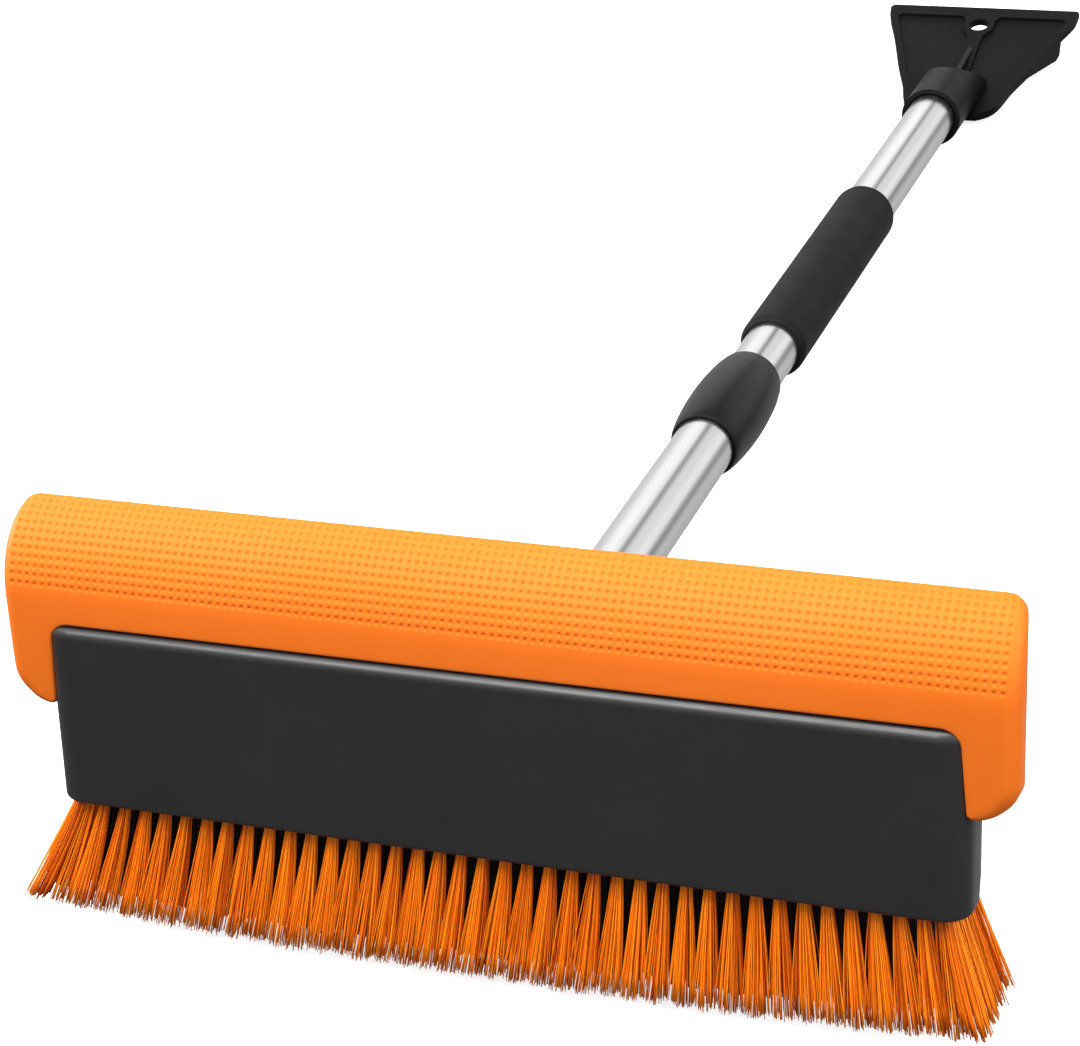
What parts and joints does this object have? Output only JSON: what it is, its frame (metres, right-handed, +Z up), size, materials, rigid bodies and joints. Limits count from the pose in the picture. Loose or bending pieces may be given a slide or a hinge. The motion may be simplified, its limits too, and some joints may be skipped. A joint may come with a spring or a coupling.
{
  "type": "snow brush scraper",
  "caption": "Long-handled snow brush with a wide soft-capped bristle head, a twist-lock telescoping pole, a foam grip and a flared ice scraper with a hanging hole.",
  "frame": {"origin": "middle of the bounding box's bottom face, on the floor the tool lies on", "axes": "+Z up, +Y from the brush head to the scraper, +X along the brush head, to the right as seen from the head's front"},
  "size_m": [0.413, 0.8998, 0.1769],
  "materials": {
    "cap_rubber": "soft satin moulded rubber with rows of small dimples",
    "housing_plastic": "fine-grained satin black plastic",
    "board_plastic": "plain black plastic",
    "bristle_orange": "bright orange nylon filament",
    "bristle_black": "black nylon filament",
    "screw_steel": "zinc-plated steel",
    "socket_plastic": "satin black plastic",
    "tube_aluminium": "satin drawn aluminium with lengthwise lines",
    "lock_plastic": "soft matte black plastic",
    "bush_plastic": "smooth natural nylon",
    "grip_foam": "fine-celled black foam",
    "scraper_plastic": "satin black plastic"
  },
  "bodies": {
    "head": {"orange_cap": "cap_rubber", "head_housing": "housing_plastic", "bristle_board": "board_plastic", "front_tufts": "bristle_orange", "middle_front_tufts": "bristle_black", "middle_rear_tufts": "bristle_black", "rear_tufts": "bristle_orange", "left_end_tufts": "bristle_orange", "right_end_tufts": "bristle_orange", "board_screws": "screw_steel", "cap_screws": "screw_steel", "pole_socket": "socket_plastic", "socket_screws": "screw_steel", "socket_rivet": "screw_steel", "outer_tube": "tube_aluminium", "outer_tube_plug": "board_plastic", "lock_body": "lock_plastic"},
    "collar": {"lock_collar": "lock_plastic"},
    "clamp": {"clamp_ring": "bush_plastic"},
    "inner_pole": {"inner_tube": "tube_aluminium", "guide_bush": "bush_plastic", "grip_sleeve": "grip_foam", "ice_scraper": "scraper_plastic", "upper_tube_plug": "board_plastic", "scraper_screws": "screw_steel"}
  },
  "joints": [
    {"name": "lock_twist", "type": "hinge", "parent": "head", "child": "collar", "pos_m": [0, -0.113, 0.06604], "axis": [0, 0.9945, -0.1044], "range_deg": [0, 90]},
    {"name": "pole_twist", "type": "hinge", "parent": "head", "child": "clamp", "pos_m": [0, -0.08614, 0.06322], "axis": [0, 0.9945, -0.1044], "range_deg": [-180, 180]},
    {"name": "pole_telescope", "type": "slide", "parent": "clamp", "child": "inner_pole", "axis": [0, 0.9945, -0.1044], "range_m": [-0.033, 0.17]}
  ]
}
